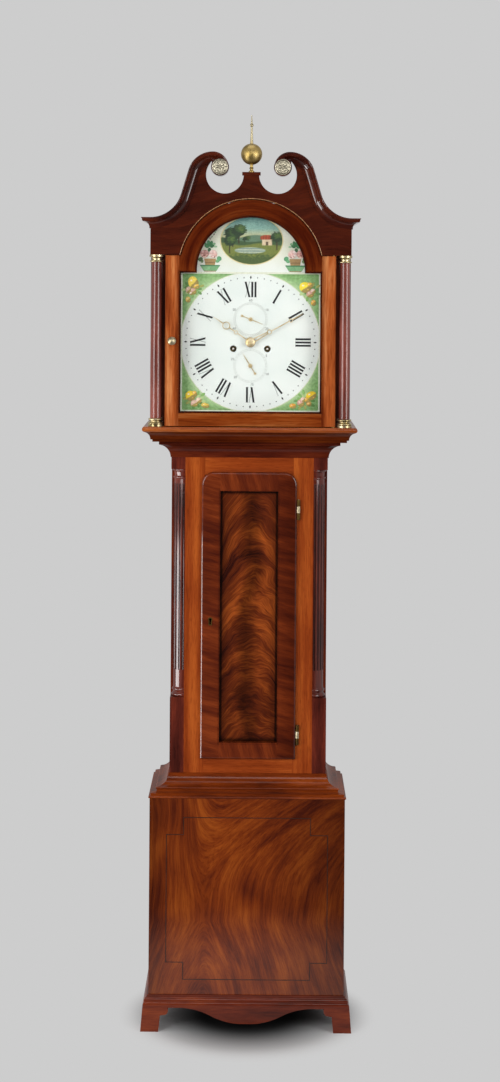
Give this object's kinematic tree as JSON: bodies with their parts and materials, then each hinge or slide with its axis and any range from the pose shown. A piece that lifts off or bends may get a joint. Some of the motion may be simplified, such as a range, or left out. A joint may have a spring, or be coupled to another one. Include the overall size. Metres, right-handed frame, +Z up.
{
  "type": "longcase clock",
  "caption": "Longcase clock with swan-neck hood, glazed arch door, painted dial, working going and strike trains, pendulum, driving weights and hinged trunk door.",
  "frame": {"origin": "on the floor at the middle of the plan", "axes": "+Z up, -Y to the front of the clock, +X to the right as seen from the front"},
  "size_m": [0.5236, 0.2633, 2.1915],
  "materials": {
    "mahogany": "French polished, dark red-brown",
    "flame_mahogany": "French polished, flame figured veneer",
    "pine": "unfinished",
    "brass": "polished, lightly aged",
    "steel": "bright, oiled",
    "dial_paint": "painted and varnished",
    "glass": "clear",
    "iron": "rough cast",
    "gut": "twisted gut",
    "bell_metal": "cast and turned"
  },
  "bodies": {
    "case": {"backboard": "pine", "base_front": "mahogany", "base_carcase": "mahogany", "plinth_skirting": "mahogany", "waist_moulding": "mahogany", "trunk_sides": "mahogany", "trunk_front_frame": "mahogany", "quarter_columns": "mahogany", "throat_moulding": "mahogany", "seatboard": "pine", "trunk_hinge_leaves": "brass", "dial_plate": "dial_paint", "movement_frame": "brass", "back_cock": "brass", "bell": "bell_metal", "going_line": "gut", "strike_line": "gut"},
    "trunk_door": {"trunk_door_frame": "mahogany", "trunk_door_panel": "flame_mahogany", "trunk_door_hinges": "brass", "trunk_door_lock": "steel"},
    "lock_bolt": {"lock_bolt": "steel"},
    "hood": {"hood_base_frame": "mahogany", "hood_carcase": "mahogany", "pediment_board": "mahogany", "swan_neck_mouldings": "mahogany", "rosettes": "brass", "finial": "brass", "hood_columns": "mahogany", "column_brasses": "brass", "dial_mask": "mahogany"},
    "hood_door": {"hood_door_frame": "mahogany", "hood_door_glass": "glass", "hood_door_pivots": "brass"},
    "hood_catch": {"hood_door_knob": "brass"},
    "minute": {"minute_hand": "brass", "centre_wheel": "brass"},
    "hour": {"hour_hand": "brass", "hour_wheel": "brass"},
    "minute_wheel": {"minute_wheel": "brass"},
    "third": {"third_wheel": "brass"},
    "escape": {"escape_wheel": "brass", "seconds_hand": "brass"},
    "date": {"date_hand": "brass"},
    "going_great": {"going_great_wheel": "brass"},
    "going_barrel": {"going_barrel": "brass"},
    "strike_great": {"strike_great_wheel": "brass"},
    "strike_barrel": {"strike_barrel": "brass"},
    "pin": {"pin_wheel": "brass"},
    "gathering": {"gathering_wheel": "brass"},
    "warning": {"warning_wheel": "brass"},
    "fly": {"fly": "brass"},
    "hammer": {"hammer": "steel"},
    "anchor": {"anchor": "steel"},
    "pendulum": {"pendulum_rod": "steel", "pendulum_bob": "brass"},
    "going_weight": {"going_weight": "iron"},
    "strike_weight": {"strike_weight": "iron"},
    "going_pulley": {"going_pulley": "brass"},
    "strike_pulley": {"strike_pulley": "brass"}
  },
  "joints": [
    {"name": "hood_slide", "type": "slide", "parent": "case", "child": "hood", "axis": [0, -1, 0], "range_m": [0, 0.28]},
    {"name": "hood_door_hinge", "type": "hinge", "parent": "hood", "child": "hood_door", "pos_m": [0.199, -0.1015, 1.65], "axis": [0, 0, 1], "range_deg": [0, 100]},
    {"name": "hood_catch_turn", "type": "hinge", "parent": "hood_door", "child": "hood_catch", "pos_m": [-0.1875, 0, 1.65], "axis": [0, -1, 0], "range_deg": [0, 90]},
    {"name": "trunk_door_hinge", "type": "hinge", "parent": "case", "child": "trunk_door", "pos_m": [0.1193, -0.0633, 0.983], "axis": [0, 0, 1], "range_deg": [0, 120]},
    {"name": "lock_bolt_slide", "type": "slide", "parent": "trunk_door", "child": "lock_bolt", "axis": [-1, 0, 0], "range_m": [0, 0.007]},
    {"name": "minute_turn", "type": "hinge", "parent": "case", "child": "minute", "pos_m": [0, 0, 1.647], "axis": [0, 1, 0], "continuous": true},
    {"name": "hour_turn", "type": "hinge", "parent": "case", "child": "hour", "pos_m": [0, 0, 1.647], "axis": [0, 1, 0], "continuous": true},
    {"name": "minute_wheel_turn", "type": "hinge", "parent": "case", "child": "minute_wheel", "pos_m": [0.028, 0, 1.6665], "axis": [0, 1, 0], "continuous": true},
    {"name": "third_turn", "type": "hinge", "parent": "case", "child": "third", "pos_m": [0.0135, 0, 1.6767], "axis": [0, 1, 0], "continuous": true},
    {"name": "seconds_turn", "type": "hinge", "parent": "case", "child": "escape", "pos_m": [0, 0, 1.702], "axis": [0, 1, 0], "continuous": true},
    {"name": "date_turn", "type": "hinge", "parent": "case", "child": "date", "pos_m": [0, 0, 1.59], "axis": [0, 1, 0], "continuous": true},
    {"name": "going_great_turn", "type": "hinge", "parent": "case", "child": "going_great", "pos_m": [0.041, 0, 1.631], "axis": [0, 1, 0], "continuous": true},
    {"name": "gathering_turn", "type": "hinge", "parent": "case", "child": "gathering", "pos_m": [-0.03, 0, 1.692], "axis": [0, 1, 0], "continuous": true},
    {"name": "pin_turn", "type": "hinge", "parent": "case", "child": "pin", "pos_m": [-0.048, 0, 1.6718], "axis": [0, 1, 0], "continuous": true},
    {"name": "strike_great_turn", "type": "hinge", "parent": "case", "child": "strike_great", "pos_m": [-0.041, 0, 1.631], "axis": [0, 1, 0], "continuous": true},
    {"name": "warning_turn", "type": "hinge", "parent": "case", "child": "warning", "pos_m": [-0.044, 0, 1.7134], "axis": [0, 1, 0], "continuous": true},
    {"name": "fly_turn", "type": "hinge", "parent": "case", "child": "fly", "pos_m": [-0.03, 0, 1.729], "axis": [0, 1, 0], "continuous": true},
    {"name": "pendulum_swing", "type": "hinge", "parent": "case", "child": "pendulum", "pos_m": [0, 0, 1.733], "axis": [0, 1, 0], "range_deg": [-2.5, 2.5]},
    {"name": "anchor_rock", "type": "hinge", "parent": "case", "child": "anchor", "pos_m": [0, 0, 1.733], "axis": [0, 1, 0], "range_deg": [-3, 3]},
    {"name": "hammer_lift", "type": "hinge", "parent": "case", "child": "hammer", "pos_m": [-0.062, 0, 1.699], "axis": [0, -1, 0], "range_deg": [0, 12]},
    {"name": "going_weight_rise", "type": "slide", "parent": "case", "child": "going_weight", "axis": [0, 0, 1], "range_m": [0, 1.12], "deforming": ["going_line"]},
    {"name": "strike_weight_rise", "type": "slide", "parent": "case", "child": "strike_weight", "axis": [0, 0, 1], "range_m": [0, 1.12], "deforming": ["strike_line"]},
    {"name": "going_barrel_turn", "type": "hinge", "parent": "case", "child": "going_barrel", "pos_m": [0.041, 0, 1.631], "axis": [0, 1, 0], "range_deg": [-1, 5200]},
    {"name": "strike_barrel_turn", "type": "hinge", "parent": "case", "child": "strike_barrel", "pos_m": [-0.041, 0, 1.631], "axis": [0, 1, 0], "range_deg": [-1, 5200]},
    {"name": "going_pulley_turn", "type": "hinge", "parent": "going_weight", "child": "going_pulley", "pos_m": [0.0366, 0, 0.38], "axis": [0, 1, 0], "range_deg": [-1, 3200]},
    {"name": "strike_pulley_turn", "type": "hinge", "parent": "strike_weight", "child": "strike_pulley", "pos_m": [-0.0454, 0, 0.38], "axis": [0, 1, 0], "range_deg": [-1, 3200]}
  ],
  "couplings": [
    {"joint": "hour_turn", "follows": "minute_turn", "ratio": 0.083333},
    {"joint": "minute_wheel_turn", "follows": "minute_turn", "ratio": -1},
    {"joint": "third_turn", "follows": "minute_turn", "ratio": -8},
    {"joint": "seconds_turn", "follows": "minute_turn", "ratio": 60},
    {"joint": "date_turn", "follows": "minute_turn", "ratio": 0.0013441},
    {"joint": "going_great_turn", "follows": "minute_turn", "ratio": -0.083333},
    {"joint": "pin_turn", "follows": "gathering_turn", "ratio": -0.14286},
    {"joint": "strike_great_turn", "follows": "gathering_turn", "ratio": 0.013605},
    {"joint": "warning_turn", "follows": "gathering_turn", "ratio": -7},
    {"joint": "fly_turn", "follows": "gathering_turn", "ratio": 42},
    {"joint": "anchor_rock", "follows": "pendulum_swing", "ratio": 1},
    {"joint": "going_barrel_turn", "follows": "going_weight_rise", "rad_per_m": 79.365},
    {"joint": "strike_barrel_turn", "follows": "strike_weight_rise", "rad_per_m": 79.365},
    {"joint": "going_pulley_turn", "follows": "going_weight_rise", "rad_per_m": 48.077},
    {"joint": "strike_pulley_turn", "follows": "strike_weight_rise", "rad_per_m": 48.077}
  ]
}
